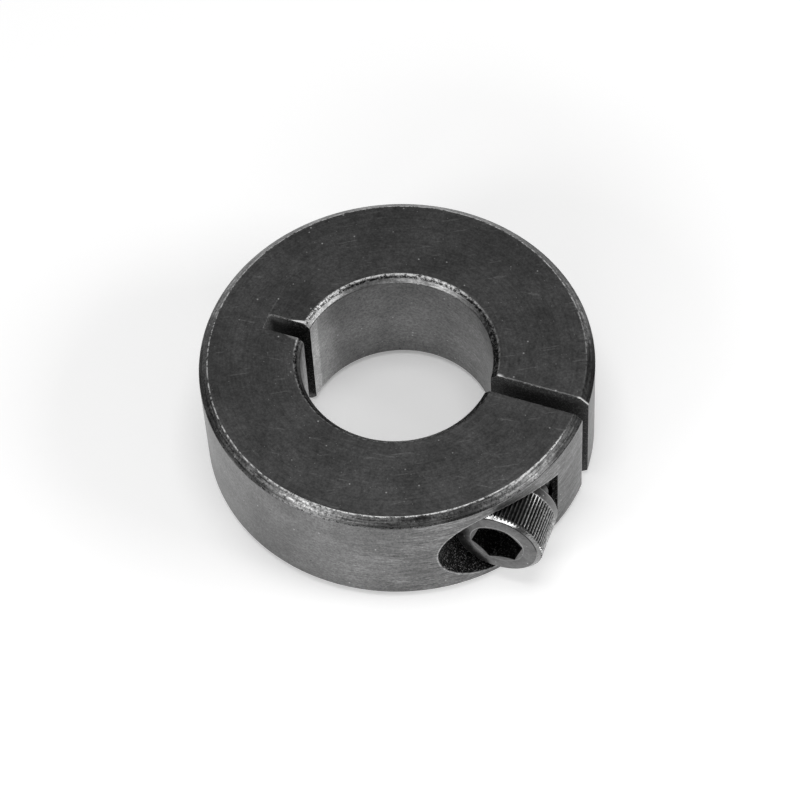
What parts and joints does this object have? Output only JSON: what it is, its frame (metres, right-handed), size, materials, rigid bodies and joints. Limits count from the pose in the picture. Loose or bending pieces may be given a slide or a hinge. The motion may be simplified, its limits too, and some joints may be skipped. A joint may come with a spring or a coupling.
{
  "type": "shaft collar",
  "caption": "One-piece clamp collar: a split steel ring that grips a shaft when its cross screw draws the slit closed.",
  "frame": {"origin": "bore axis, on the lower face", "axes": "+Z along the bore, +X out through the slit, +Y along the screw from its head to its tip"},
  "size_m": [0.0332, 0.0334, 0.0111],
  "materials": {
    "ring_steel": "black oxide, turned and lightly brushed",
    "screw_steel": "black oxide, knurled"
  },
  "bodies": {
    "tapped_jaw": {"ring_half_tapped": "ring_steel"},
    "counterbored_jaw": {"ring_half_counterbored": "ring_steel"},
    "screw": {"clamp_screw": "screw_steel"}
  },
  "joints": [
    {"name": "ring_flex", "type": "hinge", "parent": "tapped_jaw", "child": "counterbored_jaw", "pos_m": [-0.01417, 0, 0.00555], "axis": [0, 0, 1], "range_deg": [0, 1], "stiffness_Nm_per_rad": 1},
    {"name": "screw_travel", "type": "slide", "parent": "tapped_jaw", "child": "screw", "axis": [0, 1, 0], "range_m": [-0.0045, 0.0016]}
  ]
}
